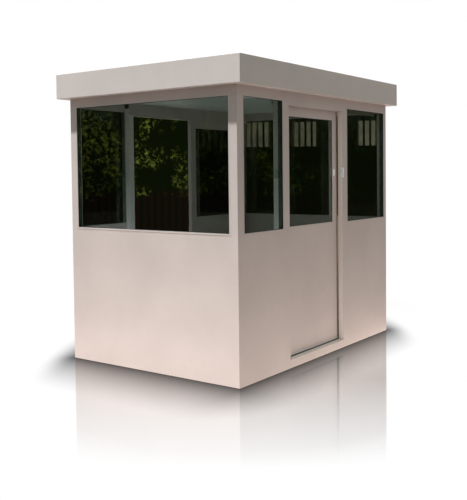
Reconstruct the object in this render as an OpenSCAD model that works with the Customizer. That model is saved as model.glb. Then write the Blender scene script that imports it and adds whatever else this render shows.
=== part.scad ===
// Security guard booth: a welded steel cabin with tinted windows on all four
// sides and a top-hung sliding door in each long wall.
// Millimetres. +Z up. Origin on the ground at the centre of the footprint.
// -Y is the front long wall, -X the left end wall. The back wall is the mirror
// of the front wall, and its door stands open.

/* [Body] */
// length of the long walls, outside
body_length = 2530; // [2300:10:3200]
// depth of the booth over both long walls, outside
body_depth = 1755; // [1300:5:2400]
// height from the ground to the top of the roof edge
total_height = 2440; // [2300:10:2900]
// thickness of every wall
wall_t = 50; // [40:1:70]

/* [Roof] */
// height of the plain band round the roof
fascia_height = 208; // [120:1:280]
// thickness of a fascia panel
fascia_t = 20; // [10:1:30]
// how far the roof stands out past the end walls
overhang_end = 76; // [40:1:150]
// how far the roof stands out past the long walls
overhang_long = 85; // [40:1:150]
// how far the folded roof edge stands proud of the fascia
edge_lip = 0; // [0:1:10]
// thickness of the folded roof edge
edge_t = 6; // [3:1:12]
// width of the folded roof edge on top
edge_width = 42; // [26:1:80]
// thickness of the soffit sheet
soffit_t = 8; // [4:1:16]
// thickness of the ceiling panel
ceiling_t = 20; // [10:1:40]
// thickness of the roof deck
deck_t = 18; // [10:1:40]
// drop from the roof edge down to the deck
deck_drop = 14; // [8:1:40]

/* [Floor] */
// height of the floor above the ground
floor_z = 70; // [50:1:120]
// thickness of the floor plate
floor_t = 12; // [8:1:30]
// width of a floor runner
runner_w = 60; // [40:1:100]

/* [Windows] */
// height of the window sills
window_sill = 1137; // [850:1:1250]
// distance from the wall top down to the window heads
window_head_drop = 79; // [50:1:150]
// wall left beside a window in an end wall
end_margin = 78; // [60:1:200]
// post between the left corner and the small window
corner_post = 81; // [60:1:160]
// width of the small window in a long wall
small_window_w = 537; // [300:1:560]
// post between the small window and the doorway
post_left = 98; // [80:1:160]
// post between the doorway and the large window
post_right = 86; // [70:1:160]
// post between the large window and the right corner
corner_post_right = 58; // [55:1:160]
// thickness of the window glass
glass_t = 8; // [5:1:12]
// set-back of the glass from the outer face
glass_setback = 2; // [1:1:16]
// width of the slim frame round a window
trim_w = 12; // [8:1:20]
// how far the slim frame stands proud of the wall
trim_proud = 1.5; // [1:0.5:4]
// fit gap round a pane
pane_gap = 0.3; // [0.2:0.1:0.5]

/* [Door] */
// clear width of a doorway
door_open_w = 906; // [800:1:950]
// distance from the wall top down to the doorway head
door_head_drop = 108; // [95:1:200]
// thickness of a door leaf
leaf_t = 40; // [34:1:50]
// gap between the wall and the leaf that slides past it
leaf_gap = 6; // [5:0.5:10]
// how far the shut leaf covers the left jamb
leaf_lap = 26; // [10:1:60]
// gap the shut leaf leaves beside the right jamb
leaf_short = 22; // [10:1:30]
// gap between the floor and the leaf
leaf_floor_gap = 17; // [12:1:30]
// how far the leaf reaches above the doorway head
leaf_over_head = 28; // [15:1:40]
// width of the leaf's upright stile on the shutting side
stile_w = 78; // [60:1:140]
// width of the leaf's upright stile beside the rubber strip
lock_stile_w = 70; // [56:1:140]
// distance from the doorway head down to the door glass
leaf_rail_drop = 80; // [50:1:200]
// height of the bottom of the door glass
leaf_sill = 1141; // [900:1:1260]
// thickness of the door glass
leaf_glass_t = 8; // [5:1:12]
// set-back of the door glass from the leaf's outer face
leaf_glass_setback = 3; // [1:1:14]
// width of the post that the door shuts against
stop_w = 62; // [40:1:90]
// gap between the shut leaf and that post
stop_clear = 5; // [5:0.5:8]
// width of the rubber strip past the leaf's trailing edge
seal_w = 30; // [18:1:34]
// thickness of the rubber strip
seal_t = 12; // [6:1:16]
// set-back of the rubber strip from the leaf's outer face
seal_setback = 1; // [0:0.5:8]
// running gap between the rubber strip and the floor
seal_floor_gap = 6; // [5:0.5:9]
// gap left to the end wall when the door is fully open
stop_gap = 20; // [8:1:60]

/* [Track] */
// how far the track starts before the doorway
track_lead = 100; // [60:1:140]
// height of the track
track_h = 48; // [40:1:60]
// sheet thickness of the track
track_wall = 3; // [2:0.5:4]
// gap between the leaf and the track's cover on the room side
cover_gap = 7; // [6:0.5:10]
// height of the cover's lower edge above the doorway head
cover_over_head = 4; // [0:1:20]
// width of the slot under the track
track_slot = 20; // [14:1:24]
// radius of a hanger wheel
wheel_r = 14; // [10:0.5:17]
// width of a hanger wheel
wheel_w = 9; // [6:0.5:12]
// thickness of a hanger strap
strap_t = 8; // [5:0.5:10]
// width of a hanger strap
strap_w = 60; // [40:1:90]
// distance from a leaf edge to the middle of its hanger
hanger_inset = 130; // [80:1:220]
// running gap under a wheel
wheel_gap = 0.3; // [0.2:0.1:0.5]

/* [Lock] */
// middle height of the lock fittings
lock_z = 1580; // [1000:1:1700]
// height of the keeper plate on the jamb
keeper_h = 88; // [60:1:140]
// how far the keeper reaches back along the jamb
keeper_depth = 34; // [20:1:38]
// how far the keeper laps on to the wall face
keeper_lap = 16; // [8:1:30]
// thickness of the keeper plate
keeper_t = 3; // [2:0.5:4]
// height of the flush pull in the leaf
pull_h = 60; // [40:1:160]
// width of the flush pull
pull_w = 36; // [24:1:50]
// depth of the flush pull
pull_depth = 12; // [8:1:16]
// width of the pull's rim
pull_rim = 6; // [4:0.5:8]
// height of the latch plate on the side of the inside post
latch_h = 72; // [40:1:120]
// thickness of the latch plate
latch_t = 3; // [2:0.5:5]
// margin from the latch plate to the post's front and to the wall
latch_margin = 4; // [2:1:12]

/* [Hidden] */
$fn = 40;
x0 = -body_length/2;              // left outer face
y0 = -body_depth/2;               // front outer face
wall_top = total_height - fascia_height;
window_head = wall_top - window_head_drop;
door_head = wall_top - door_head_drop;
inner_length = body_length - 2*wall_t;
inner_depth = body_depth - 2*wall_t;
// stations along a long wall, from its left end
small_a = corner_post;
small_b = small_a + small_window_w;
door_a = small_b + post_left;
door_b = door_a + door_open_w;
large_a = door_b + post_right;
large_b = body_length - corner_post_right;
// leaf, shut
leaf_a = door_a - leaf_lap;
leaf_b = door_b - leaf_short;
leaf_y = wall_t + leaf_gap;
leaf_bottom = floor_z + leaf_floor_gap;
leaf_top = door_head + leaf_over_head;
leaf_glass_top = door_head - leaf_rail_drop;
seal_y = leaf_y + seal_setback;
door_travel = body_length - wall_t - stop_gap - (leaf_b + seal_w);
// track
track_w = leaf_y + leaf_t + cover_gap + track_wall - wall_t;
cover_z = door_head + cover_over_head;
track_a = door_a - track_lead;
track_b = body_length - wall_t;
track_z = wall_top - track_h;
rail_y = leaf_y + leaf_t/2;
wheel_z = track_z + track_wall + wheel_gap + wheel_r;
steel = [0.80, 0.74, 0.69];
roofc = [0.80, 0.75, 0.70];
glassc = [0.10, 0.16, 0.13, 0.6];
rubber = [0.20, 0.15, 0.12];
bright = [0.85, 0.85, 0.83];
grey = [0.45, 0.47, 0.46];

// a box given by its low and high corners
module span(a, b) {
    translate(a) cube([b[0]-a[0], b[1]-a[1], b[2]-a[2]]);
}
// the front wall's own frame: x from its left end, y into the booth
module at_front() { translate([x0, y0, 0]) children(); }
// the back wall is the front wall mirrored front to back
module at_back() { mirror([0, 1, 0]) at_front() children(); }
// a wall panel with one window
module window_wall(a, b, wa, wb) {
    difference() {
        span([a, 0, 0], [b, wall_t, wall_top]);
        span([wa, -1, window_sill], [wb, wall_t+1, window_head]);
    }
}
// the pane of one window
module pane(wa, wb) {
    span([wa+pane_gap, glass_setback, window_sill+pane_gap],
         [wb-pane_gap, glass_setback+glass_t, window_head-pane_gap]);
}
// the slim frame standing on the wall round one window
module trim_ring(wa, wb) {
    difference() {
        span([wa-trim_w, -trim_proud, window_sill-trim_w], [wb+trim_w, 0, window_head+trim_w]);
        span([wa, -trim_proud-1, window_sill], [wb, 1, window_head]);
    }
}
// the left end wall's own frame: x from the front wall's outer face, y into the booth
module at_left() { translate([x0, y0, 0]) mirror([1, -1, 0]) children(); }
module at_right() { mirror([1, 0, 0]) at_left() children(); }

// ---- floor
module base_runners() {
    color(grey)
    for (y = [y0+wall_t+1, -runner_w/2, -y0-wall_t-1-runner_w])
        span([x0+wall_t+1, y, 0], [-x0-wall_t-1, y+runner_w, floor_z-floor_t]);
}
module floor_plate() {
    color(grey)
    span([x0+wall_t, y0+wall_t, floor_z-floor_t], [-x0-wall_t, -y0-wall_t, floor_z]);
}

// ---- long walls
module wall_left_part() { window_wall(0, door_a, small_a, small_b); }
module wall_right_part() { window_wall(door_b, body_length, large_a, large_b); }
module lintel_part() { span([door_a, 0, door_head], [door_b, wall_t, wall_top]); }
module sill_part() { span([door_a, 0, 0], [door_b, wall_t, floor_z]); }
module front_wall_left() { color(steel) at_front() wall_left_part(); }
module front_wall_right() { color(steel) at_front() wall_right_part(); }
module front_lintel() { color(steel) at_front() lintel_part(); }
module front_sill() { color(steel) at_front() sill_part(); }
module back_wall_left() { color(steel) at_back() wall_left_part(); }
module back_wall_right() { color(steel) at_back() wall_right_part(); }
module back_lintel() { color(steel) at_back() lintel_part(); }
module back_sill() { color(steel) at_back() sill_part(); }

// ---- end walls, between the long walls
module end_part() { window_wall(wall_t, body_depth-wall_t, end_margin, body_depth-end_margin); }
module left_wall() { color(steel) at_left() end_part(); }
module right_wall() { color(steel) at_right() end_part(); }

// ---- glazing
module glass_left() { color(glassc) at_left() pane(end_margin, body_depth-end_margin); }
module glass_right() { color(glassc) at_right() pane(end_margin, body_depth-end_margin); }
module glass_front_small() { color(glassc) at_front() pane(small_a, small_b); }
module glass_front_large() { color(glassc) at_front() pane(large_a, large_b); }
module glass_back_small() { color(glassc) at_back() pane(small_a, small_b); }
module glass_back_large() { color(glassc) at_back() pane(large_a, large_b); }
module window_trims() {
    color(steel) {
        at_left() trim_ring(end_margin, body_depth-end_margin);
        at_right() trim_ring(end_margin, body_depth-end_margin);
        at_front() trim_ring(small_a, small_b);
        at_front() trim_ring(large_a, large_b);
        at_back() trim_ring(small_a, small_b);
        at_back() trim_ring(large_a, large_b);
    }
}

// ---- roof
fx = -x0 + overhang_end;          // outer face of an end fascia
fy = -y0 + overhang_long;         // outer face of a long fascia
fascia_top = total_height - edge_t;
module ceiling_panel() {
    color(grey) span([x0, y0, wall_top], [-x0, -y0, wall_top+ceiling_t]);
}
module soffit() {
    color(roofc)
    difference() {
        span([-fx+fascia_t, -fy+fascia_t, wall_top+2], [fx-fascia_t, fy-fascia_t, wall_top+2+soffit_t]);
        span([x0, y0, wall_top], [-x0, -y0, wall_top+ceiling_t]);
    }
}
module roof_deck() {
    color(roofc)
    span([-fx+fascia_t, -fy+fascia_t, total_height-deck_drop-deck_t],
         [fx-fascia_t, fy-fascia_t, total_height-deck_drop]);
}
module fascia_front() { color(roofc) span([-fx, -fy, wall_top], [fx, -fy+fascia_t, fascia_top]); }
module fascia_back() { color(roofc) span([-fx, fy-fascia_t, wall_top], [fx, fy, fascia_top]); }
module fascia_left() { color(roofc) span([-fx, -fy+fascia_t, wall_top], [-fx+fascia_t, fy-fascia_t, fascia_top]); }
module fascia_right() { color(roofc) span([fx-fascia_t, -fy+fascia_t, wall_top], [fx, fy-fascia_t, fascia_top]); }
module roof_edge() {
    color(roofc)
    difference() {
        span([-fx-edge_lip, -fy-edge_lip, fascia_top], [fx+edge_lip, fy+edge_lip, total_height]);
        span([-fx-edge_lip+edge_width, -fy-edge_lip+edge_width, fascia_top-1],
             [fx+edge_lip-edge_width, fy+edge_lip-edge_width, total_height+1]);
    }
}

// ---- sliding door, drawn shut in the front wall's frame
module track_part() {
    // channel with a slot below; its room-side wall runs down as a cover over the leaf's top
    difference() {
        union() {
            span([track_a, wall_t, track_z], [track_b, wall_t+track_w, wall_top]);
            span([track_a, wall_t+track_w-track_wall, cover_z], [track_b, wall_t+track_w, wall_top]);
        }
        span([track_a-1, wall_t+track_wall, track_z+track_wall], [track_b+1, wall_t+track_w-track_wall, wall_top-track_wall]);
        span([track_a-1, rail_y-track_slot/2, track_z-1], [track_b+1, rail_y+track_slot/2, track_z+track_wall+1]);
    }
}
module leaf_part() {
    difference() {
        span([leaf_a, leaf_y, leaf_bottom], [leaf_b, leaf_y+leaf_t, leaf_top]);
        span([leaf_a+stile_w, leaf_y-1, leaf_sill], [leaf_b-lock_stile_w, leaf_y+leaf_t+1, leaf_glass_top]);
        pull_pocket();
    }
}
module pull_pocket() {
    span([leaf_b-lock_stile_w/2-pull_w/2, leaf_y-1, lock_z-pull_h/2],
         [leaf_b-lock_stile_w/2+pull_w/2, leaf_y+pull_depth, lock_z+pull_h/2]);
}
module leaf_glass_part() {
    span([leaf_a+stile_w+pane_gap, leaf_y+leaf_glass_setback, leaf_sill+pane_gap],
         [leaf_b-lock_stile_w-pane_gap, leaf_y+leaf_glass_setback+leaf_glass_t, leaf_glass_top-pane_gap]);
}
module seal_part() {
    span([leaf_a, seal_y, floor_z+seal_floor_gap], [leaf_b+seal_w, seal_y+seal_t, leaf_bottom]);
    span([leaf_b, seal_y, floor_z+seal_floor_gap], [leaf_b+seal_w, seal_y+seal_t, leaf_top]);
}
module pull_part() {
    difference() {
        span([leaf_b-lock_stile_w/2-pull_w/2, leaf_y, lock_z-pull_h/2],
             [leaf_b-lock_stile_w/2+pull_w/2, leaf_y+pull_depth, lock_z+pull_h/2]);
        span([leaf_b-lock_stile_w/2-pull_w/2+pull_rim, leaf_y-1, lock_z-pull_h/2+pull_rim],
             [leaf_b-lock_stile_w/2+pull_w/2-pull_rim, leaf_y+pull_depth-3, lock_z+pull_h/2-pull_rim]);
    }
}
module hanger_part(x) {
    // strap up through the slot
    span([x-strap_w/2, rail_y-strap_t/2, leaf_top], [x+strap_w/2, rail_y+strap_t/2, wheel_z+wheel_r*0.6]);
    // two wheels, one on each lip of the track
    for (s = [-1, 1])
        translate([x, rail_y + s*(strap_t/2 + wheel_w/2 - 0.01), wheel_z])
            rotate([90, 0, 0]) cylinder(r = wheel_r, h = wheel_w, center = true);
}
module hangers_part() {
    hanger_part(leaf_a + hanger_inset);
    hanger_part(leaf_b - hanger_inset);
}
module keeper_part() {
    // angle plate: one leg on the jamb, one on the wall face
    span([door_b-keeper_t, -keeper_t, lock_z-keeper_h/2], [door_b, keeper_depth, lock_z+keeper_h/2]);
    span([door_b-keeper_t, -keeper_t, lock_z-keeper_h/2], [door_b+keeper_lap, 0, lock_z+keeper_h/2]);
    // latch plate on the far side of the inside post
    span([leaf_a-stop_clear-stop_w-latch_t, wall_t+latch_margin, lock_z-latch_h/2],
         [leaf_a-stop_clear-stop_w, leaf_y+leaf_t-latch_margin, lock_z+latch_h/2]);
}
// post inside the wall that the shut leaf comes up to
module stop_part() {
    span([leaf_a-stop_clear-stop_w, wall_t, floor_z], [leaf_a-stop_clear, leaf_y+leaf_t, track_z]);
}
module slid() { translate([door_travel, 0, 0]) children(); }

module front_door_track() { color(grey) at_front() track_part(); }
module front_door_stop() { color(steel) at_front() stop_part(); }
module front_door_leaf() { color(steel) at_front() leaf_part(); }
module front_door_glass() { color(glassc) at_front() leaf_glass_part(); }
module front_door_seal() { color(rubber) at_front() seal_part(); }
module front_door_pull() { color(bright) at_front() pull_part(); }
module front_door_hangers() { color(grey) at_front() hangers_part(); }
module front_door_keeper() { color(bright) at_front() keeper_part(); }
module back_door_track() { color(grey) at_back() track_part(); }
module back_door_stop() { color(steel) at_back() stop_part(); }
module back_door_leaf() { color(steel) at_back() slid() leaf_part(); }
module back_door_glass() { color(glassc) at_back() slid() leaf_glass_part(); }
module back_door_seal() { color(rubber) at_back() slid() seal_part(); }
module back_door_pull() { color(bright) at_back() slid() pull_part(); }
module back_door_hangers() { color(grey) at_back() slid() hangers_part(); }
module back_door_keeper() { color(bright) at_back() keeper_part(); }

base_runners();
floor_plate();
front_wall_left();
front_wall_right();
front_lintel();
front_sill();
back_wall_left();
back_wall_right();
back_lintel();
back_sill();
left_wall();
right_wall();
glass_left();
glass_right();
glass_front_small();
glass_front_large();
glass_back_small();
glass_back_large();
window_trims();
ceiling_panel();
soffit();
roof_deck();
fascia_front();
fascia_back();
fascia_left();
fascia_right();
roof_edge();
front_door_track();
front_door_stop();
front_door_leaf();
front_door_glass();
front_door_seal();
front_door_pull();
front_door_hangers();
front_door_keeper();
back_door_track();
back_door_stop();
back_door_leaf();
back_door_glass();
back_door_seal();
back_door_pull();
back_door_hangers();
back_door_keeper();
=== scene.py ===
import bpy, bmesh, math
from mathutils import Matrix, Vector


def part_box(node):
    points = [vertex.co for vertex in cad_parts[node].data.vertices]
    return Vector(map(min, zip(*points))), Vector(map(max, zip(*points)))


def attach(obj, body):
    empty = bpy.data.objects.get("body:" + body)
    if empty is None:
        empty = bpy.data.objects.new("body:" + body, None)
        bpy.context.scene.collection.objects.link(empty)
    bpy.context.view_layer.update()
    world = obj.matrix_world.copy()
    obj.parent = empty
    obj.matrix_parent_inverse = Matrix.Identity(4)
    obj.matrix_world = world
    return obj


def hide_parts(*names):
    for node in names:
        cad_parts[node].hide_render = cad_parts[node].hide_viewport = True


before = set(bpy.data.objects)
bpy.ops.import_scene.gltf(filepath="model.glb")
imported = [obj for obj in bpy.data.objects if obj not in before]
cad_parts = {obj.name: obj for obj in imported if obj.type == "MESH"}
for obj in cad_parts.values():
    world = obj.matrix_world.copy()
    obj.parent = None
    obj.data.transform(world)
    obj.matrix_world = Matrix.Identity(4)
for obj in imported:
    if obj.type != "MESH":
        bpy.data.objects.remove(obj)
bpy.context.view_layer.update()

fixedBody = "booth"  # every piece that does not slide rides on this


# small helpers

def linkMesh(name, bm, *materials):
    me = bpy.data.meshes.new(name)
    bm.to_mesh(me)
    bm.free()
    ob = bpy.data.objects.new(name, me)
    bpy.context.scene.collection.objects.link(ob)
    for m in materials:
        me.materials.append(m)
    return ob


def addBox(bm, low, high):
    c = [(low[i] + high[i]) / 2 for i in range(3)]
    s = [high[i] - low[i] for i in range(3)]
    bmesh.ops.create_cube(bm, size=1, matrix=Matrix.Translation(c) @ Matrix.Diagonal((*s, 1)))


def freeze(ob):
    # turns the evaluated object into a plain mesh and drops its modifiers
    deps = bpy.context.evaluated_depsgraph_get()
    me = bpy.data.meshes.new_from_object(ob.evaluated_get(deps))
    old = ob.data
    ob.modifiers.clear()
    ob.data = me
    if old.users == 0:
        bpy.data.meshes.remove(old)
    me.name = ob.name
    return ob


def soften(ob, width, segments=2):
    b = ob.modifiers.new("soften", "BEVEL")
    b.width = width
    b.segments = segments
    b.limit_method = "ANGLE"
    b.angle_limit = math.radians(40)
    w = ob.modifiers.new("even", "WEIGHTED_NORMAL")
    w.mode = "FACE_AREA"
    w.weight = 50
    for p in ob.data.polygons:
        p.use_smooth = True
    return freeze(ob)


def bridge(bm, rings):
    # quads between each ring of points and the next
    for one, two in zip(rings, rings[1:]):
        for k in range(len(one)):
            after = (k + 1) % len(one)
            bm.faces.new((one[k], one[after], two[after], two[k]))


def faceOut(bm):
    bmesh.ops.recalc_face_normals(bm, faces=bm.faces)


def carve(ob, cutter):
    m = ob.modifiers.new("carve", "BOOLEAN")
    m.operation = "DIFFERENCE"
    m.solver = "EXACT"
    m.object = cutter
    freeze(ob)
    bpy.data.objects.remove(cutter)


def refine(name, node, material, width=0.0015, segments=2):
    # a softened copy of a plain CAD piece
    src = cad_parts[node].data
    bm = bmesh.new()
    bm.from_mesh(src)
    bmesh.ops.remove_doubles(bm, verts=bm.verts, dist=1e-5)
    bmesh.ops.dissolve_limit(bm, angle_limit=math.radians(1), verts=bm.verts, edges=bm.edges)
    ob = linkMesh(name, bm, material)
    for spare in ("custom_normal", "sharp_edge", "sharp_face"):
        if spare in ob.data.attributes:
            ob.data.attributes.remove(ob.data.attributes[spare])
    return soften(ob, width, segments)


def settle(ob, body, nodes=()):
    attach(ob, body)
    if nodes:
        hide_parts(*nodes)


def span(*nodes):
    boxes = [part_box(n) for n in nodes]
    return (Vector([min(b[0][i] for b in boxes) for i in range(3)]),
            Vector([max(b[1][i] for b in boxes) for i in range(3)]))


# camera, at a standing person's eyes off the near corner
camera = {"focal": 59.571, "sensor": 36.0, "place": (-5.8369, -4.1502, 1.5901),
          "turn": 35.91, "tilt": 2.263, "roll": -0.624, "shiftY": -0.10054}


def aimCamera(c):
    cam = bpy.data.cameras.new("boothCamera")
    cam.sensor_fit = "HORIZONTAL"
    cam.sensor_width = c["sensor"]
    cam.lens = c["focal"]
    cam.shift_y = c["shiftY"]
    cam.dof.use_dof = False
    ob = bpy.data.objects.new("boothCamera", cam)
    bpy.context.scene.collection.objects.link(ob)
    turn, tilt, roll = (math.radians(c[k]) for k in ("turn", "tilt", "roll"))
    ahead = Vector((math.cos(turn) * math.cos(tilt), math.sin(turn) * math.cos(tilt), -math.sin(tilt)))
    side = ahead.cross(Vector((0, 0, 1))).normalized()
    top = side.cross(ahead)
    right = side * math.cos(roll) + top * math.sin(roll)
    up = top * math.cos(roll) - side * math.sin(roll)
    m = Matrix((right, up, -ahead)).transposed().to_4x4()
    m.translation = Vector(c["place"])
    ob.matrix_world = m
    bpy.context.scene.camera = ob


aimCamera(camera)
print("camera set")


class Tree:
    # shorthand for placing and wiring shader nodes
    def __init__(self, tree):
        self.t = tree
        self.x = 0

    def add(self, kind, inputs=None, **props):
        n = self.t.nodes.new("ShaderNode" + kind)
        self.x += 180
        n.location = (self.x, 0)
        for k, v in props.items():
            setattr(n, k, v)
        for k, v in (inputs or {}).items():
            self.feed(n.inputs[k], v)
        return n

    def feed(self, socket, v):
        if isinstance(v, bpy.types.NodeSocket):
            self.t.links.new(v, socket)
        else:
            socket.default_value = v

    def mixColor(self, factor, a, b, blend="MIX"):
        n = self.add("Mix", data_type="RGBA", blend_type=blend)
        self.feed(n.inputs[0], factor)
        self.feed(n.inputs[6], a)
        self.feed(n.inputs[7], b)
        return n.outputs[2]

    def times(self, a, b):
        return self.math("MULTIPLY", a, b)

    def math(self, op, a, b=0.0, clamp=False):
        n = self.add("Math", operation=op, use_clamp=clamp)
        self.feed(n.inputs[0], a)
        self.feed(n.inputs[1], b)
        return n.outputs[0]

    def remap(self, value, lo, hi, toLo=0.0, toHi=1.0):
        return self.add("MapRange", {"Value": value, "From Min": lo, "From Max": hi,
                                     "To Min": toLo, "To Max": toHi}, clamp=True).outputs[0]

    def noise(self, vector, scale, detail=2.0, rough=0.5):
        n = self.add("TexNoise", {"Vector": vector, "Scale": scale, "Detail": detail, "Roughness": rough})
        return n.outputs["Fac"]

    def stretch(self, vector, scale):
        return self.add("Mapping", {"Vector": vector, "Scale": scale}).outputs[0]


def makeGroup(name, ins, outs):
    g = bpy.data.node_groups.new(name, "ShaderNodeTree")
    for label, kind, value in ins:
        s = g.interface.new_socket(name=label, in_out="INPUT", socket_type="NodeSocket" + kind)
        if value is not None:
            s.default_value = value
    for label, kind in outs:
        g.interface.new_socket(name=label, in_out="OUTPUT", socket_type="NodeSocket" + kind)
    t = Tree(g)
    gin = g.nodes.new("NodeGroupInput")
    gout = g.nodes.new("NodeGroupOutput")
    gout.location = (2600, 0)
    return g, t, gin.outputs, gout.inputs


def buildEdgeWear():
    # light rubbed edges: where the rounded normal turns away from the flat one
    g, t, i, o = makeGroup("edgeWear", [("Place", "Vector", None), ("Width", "Float", 0.006),
                                        ("Break", "Float", 40.0)], [("Mask", "Float")])
    rounded = t.add("Bevel", {"Radius": i["Width"]}, samples=4)
    plain = t.add("NewGeometry")
    dot = t.add("VectorMath", operation="DOT_PRODUCT")
    t.feed(dot.inputs[0], rounded.outputs[0])
    t.feed(dot.inputs[1], plain.outputs["Normal"])
    edge = t.remap(dot.outputs["Value"], 0.995, 0.90)
    grain = t.remap(t.noise(i["Place"], i["Break"], 3.0), 0.35, 0.65)
    t.feed(o["Mask"], t.times(edge, grain))
    return g


def buildPaintSkin():
    # sprayed enamel on sheet steel: orange peel, slow waves in the sheet, cloudy tone
    g, t, i, o = makeGroup("paintSkin", [("Place", "Vector", None), ("Peel", "Float", 0.10),
                                         ("Wave", "Float", 0.25)],
                           [("Cloud", "Float"), ("Fine", "Float"), ("Height", "Float")])
    cloud = t.noise(i["Place"], 1.7, 3.0, 0.55)
    fine = t.noise(i["Place"], 28.0, 4.0, 0.6)
    peel = t.noise(i["Place"], 420.0, 2.0, 0.5)
    wave = t.noise(t.stretch(i["Place"], (1.0, 1.0, 0.7)), 2.6, 1.0, 0.4)
    t.feed(o["Cloud"], cloud)
    t.feed(o["Fine"], fine)
    t.feed(o["Height"], t.math("ADD", t.times(peel, i["Peel"]), t.times(wave, i["Wave"])))
    return g


def buildGroundDust():
    # dust thrown up from the ground, and thin runs down the sheet in scattered patches
    g, t, i, o = makeGroup("groundDust", [("Place", "Vector", None), ("Reach", "Float", 0.35)],
                           [("Dust", "Float"), ("Runs", "Float")])
    split = t.add("SeparateXYZ", {"Vector": i["Place"]})
    wobble = t.times(t.noise(i["Place"], 5.0, 4.0, 0.6), 0.25)
    height = t.math("ADD", split.outputs["Z"], wobble)
    low = t.math("SUBTRACT", 1.0, t.math("DIVIDE", height, i["Reach"]), clamp=True)
    speck = t.remap(t.noise(i["Place"], 90.0, 4.0, 0.7), 0.3, 0.75)
    t.feed(o["Dust"], t.times(low, speck))
    streak = t.noise(t.stretch(i["Place"], (1.0, 1.0, 0.04)), 34.0, 3.0, 0.6)
    patch = t.remap(t.noise(i["Place"], 2.2, 2.0), 0.45, 0.75)
    t.feed(o["Runs"], t.times(t.remap(streak, 0.52, 0.78), patch))
    return g


edgeWear = buildEdgeWear()
paintSkin = buildPaintSkin()
groundDust = buildGroundDust()


def startMaterial(name, rough=0.5, metal=0.0, **sockets):
    m = bpy.data.materials.new(name)
    m.use_nodes = True
    t = Tree(m.node_tree)
    shader = m.node_tree.nodes["Principled BSDF"]
    shader.location = (2400, 0)
    m.node_tree.nodes["Material Output"].location = (2700, 0)
    shader.inputs["Roughness"].default_value = rough
    shader.inputs["Metallic"].default_value = metal
    for k, v in sockets.items():
        shader.inputs[k.replace("_", " ")].default_value = v
    place = t.add("TexCoord").outputs["Object"]
    return m, t, shader, place


def useGroup(t, group, **inputs):
    n = t.add("Group", node_tree=group)
    for k, v in inputs.items():
        t.feed(n.inputs[k], v)
    return n.outputs


def scaled(color, factor, lift=0.0):
    return (*[min(1.0, c * factor + lift) for c in color], 1)


def finishShader(t, shader, tone, rough, strength, distance, height):
    bump = t.add("Bump", {"Strength": strength, "Distance": distance, "Height": height})
    for socket, value in (("Base Color", tone), ("Roughness", rough), ("Normal", bump.outputs[0])):
        t.feed(shader.inputs[socket], value)


def enamel(name, color, cloudy=0.04, dust=0.0, worn=0.35, rough=0.42, runs=0.10):
    # painted sheet steel
    m, t, shader, place = startMaterial(name, rough, IOR=1.48)
    skin = useGroup(t, paintSkin, Place=place)
    edge = useGroup(t, edgeWear, Place=place)
    grime = useGroup(t, groundDust, Place=place)
    tone = t.mixColor(t.remap(skin["Cloud"], 0.3, 0.7), scaled(color, 1 - cloudy * 2),
                      scaled(color, 1 + cloudy, 0.004))
    tone = t.mixColor(t.times(t.remap(skin["Fine"], 0.35, 0.7), 0.10), tone, scaled(color, 0.86))
    tone = t.mixColor(t.times(grime["Runs"], runs), tone, scaled(color, 0.72))
    if dust:
        tone = t.mixColor(t.times(grime["Dust"], dust), tone, dustColor)
    tone = t.mixColor(t.times(edge["Mask"], worn), tone, scaled(color, 1.25, 0.03))
    gloss = t.math("ADD", t.remap(skin["Fine"], 0.3, 0.7, rough - 0.05, rough + 0.07),
                   t.times(grime["Dust"], 0.25))
    finishShader(t, shader, tone, gloss, 0.25, 0.004, skin["Height"])
    return m


dustColor = (0.36, 0.31, 0.26, 1)
paints = {
    "wall": {"color": (0.60, 0.512, 0.482), "dust": 0.35, "worn": 0.18},
    # next line: paint for the doorway jambs, sills and stop posts, partly a pale liner and partly painted
    # light, paler than the walls to stand in for bounce light in the recesses
    "jamb": {"color": (0.88, 0.80, 0.75), "dust": 0.10, "worn": 0.10},
    # next line: darker copy of the wall paint under the doorway heads, painted shade that damps the bright
    # bounce they catch
    "head": {"color": (0.44, 0.37, 0.335), "worn": 0.05},
    "roof": {"color": (0.654, 0.578, 0.545), "cloudy": 0.03, "worn": 0.12},
    "soffit": {"color": (0.66, 0.57, 0.51), "cloudy": 0.05},
    "ceiling": {"color": (0.63, 0.65, 0.64), "cloudy": 0.03, "worn": 0.0},
    "track": {"color": (0.42, 0.44, 0.42), "cloudy": 0.08, "worn": 0.8, "rough": 0.35},
    "runner": {"color": (0.10, 0.10, 0.10), "cloudy": 0.2, "dust": 0.9, "worn": 0.9, "rough": 0.6},
}
wallPaint, jambLitPaint, headShadePaint, roofPaint, soffitPaint, ceilingPaint, trackPaint, runnerPaint = [
    enamel(name + "Paint", **paint) for name, paint in paints.items()]


def tintedPane(name, tint=(0.27, 0.33, 0.28)):
    # solar glass: grey-green body, a thin film of dust that dulls the gloss; light passes through to the room
    m, t, shader, place = startMaterial(name, 0.02, IOR=1.5, Transmission_Weight=1.0)
    film = t.noise(place, 3.0, 5.0, 0.65)
    wipes = t.noise(t.stretch(place, (3.0, 3.0, 0.6)), 9.0, 3.0, 0.6)
    smear = t.times(t.remap(film, 0.45, 0.75), t.remap(wipes, 0.4, 0.7))
    t.feed(shader.inputs["Roughness"], t.remap(smear, 0.0, 1.0, 0.0, 0.03))
    dusty = t.mixColor(smear, (*tint, 1), scaled(tint, 1.12, 0.01))
    t.feed(shader.inputs["Base Color"], dusty)
    clear = t.add("BsdfTransparent", {"Color": (0.90, 0.93, 0.90, 1)})
    path = t.add("LightPath")
    soft = t.math("MAXIMUM", path.outputs["Is Shadow Ray"], path.outputs["Is Diffuse Ray"])
    mix = t.add("MixShader")
    t.feed(mix.inputs[0], soft)
    t.feed(mix.inputs[1], shader.outputs[0])
    t.feed(mix.inputs[2], clear.outputs[0])
    m.node_tree.links.new(mix.outputs[0], m.node_tree.nodes["Material Output"].inputs["Surface"])
    return m


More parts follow.
